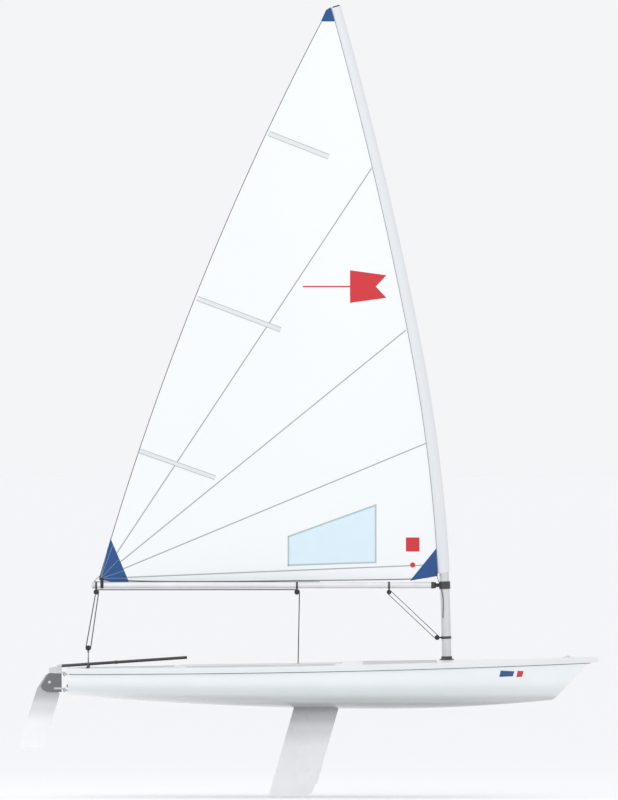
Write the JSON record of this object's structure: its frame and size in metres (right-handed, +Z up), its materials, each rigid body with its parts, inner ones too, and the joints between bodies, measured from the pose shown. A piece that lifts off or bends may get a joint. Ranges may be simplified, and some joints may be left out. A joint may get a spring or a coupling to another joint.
{
  "type": "single-handed sailing dinghy",
  "caption": "Sailing dinghy with a sleeved mainsail on a turning unstayed mast, boom, lifting rudder with tiller, and a sliding daggerboard.",
  "frame": {"origin": "centreline of the hull on the drawn waterline, halfway along the deck length", "axes": "+X to the bow, +Y to port, +Z up"},
  "size_m": [4.5965, 1.3696, 6.3025],
  "materials": {
    "hull_gelcoat": "gloss white moulding",
    "deck_gelcoat": "white moulding, lightly textured",
    "blade_gelcoat": "white, satin",
    "sail_cloth": "white woven sailcloth, blue corner patches",
    "batten_cloth": "pale grey cloth pocket",
    "window_film": "clear pale blue film",
    "mast_alloy": "silver anodised",
    "boom_alloy": "silver anodised",
    "black_alloy": "black anodised",
    "dark_grey_alloy": "dark grey satin",
    "grey_fitting": "light grey casting",
    "steel": "stainless, satin",
    "black_plastic": "matt black",
    "rubber_joint": "black rubber",
    "rope": "dark braided rope",
    "webbing": "black webbing"
  },
  "bodies": {
    "hull": {"hull_shape": "hull_gelcoat", "deck": "deck_gelcoat", "cockpit_tub": "deck_gelcoat", "mast_step_ring": "black_plastic", "bow_eye": "steel", "gudgeon_upper": "steel", "gudgeon_lower": "steel", "fairlead_port": "black_plastic", "fairlead_starboard": "black_plastic", "traveller_line": "rope", "traveller_block": "black_plastic", "ratchet_block": "black_plastic", "hiking_strap": "webbing", "strap_plate": "steel", "transom_bung": "black_plastic", "cockpit_drain": "black_plastic"},
    "rig": {"mast_foot": "black_plastic", "mast_lower": "mast_alloy", "mast_upper": "mast_alloy", "mast_joint_collar": "black_plastic", "mast_collar": "black_plastic", "mast_head_cap": "black_plastic", "gooseneck": "grey_fitting", "boom": "boom_alloy", "boom_cap_forward": "black_plastic", "boom_cap_aft": "black_plastic", "boom_end_block": "black_plastic", "boom_middle_block": "black_plastic", "vang_boom_block": "black_plastic", "vang_mast_block": "black_plastic", "clew_strap": "webbing", "sail": "sail_cloth", "sail_window": "window_film", "luff_sleeve": "sail_cloth", "batten_top": "batten_cloth", "batten_middle": "batten_cloth", "batten_lower": "batten_cloth"},
    "rudder": {"rudder_head": "dark_grey_alloy", "pintle_upper": "steel", "pintle_lower": "steel", "tiller_socket": "grey_fitting", "pivot_bolt": "steel", "tiller": "black_alloy", "tiller_universal": "rubber_joint", "tiller_extension": "black_alloy", "extension_clip": "black_plastic"},
    "blade": {"rudder_blade": "blade_gelcoat"},
    "board": {"daggerboard": "blade_gelcoat", "board_handle": "rope"}
  },
  "joints": [
    {"name": "mast_rotation", "type": "hinge", "parent": "hull", "child": "rig", "pos_m": [0.90298, 0, 0.6], "axis": [-0.0227, 0, 0.9997], "range_deg": [-85, 85]},
    {"name": "rudder_steering", "type": "hinge", "parent": "hull", "child": "rudder", "pos_m": [-2.136, 0, 0.1], "axis": [0, 0, 1], "range_deg": [-45, 45]},
    {"name": "blade_lift", "type": "hinge", "parent": "rudder", "child": "blade", "pos_m": [-2.254, 0, 0.1115], "axis": [0, 1, 0], "range_deg": [0, 95]},
    {"name": "board_slide", "type": "slide", "parent": "hull", "child": "board", "axis": [0.2756, 0, 0.9613], "range_m": [0, 0.48]}
  ]
}
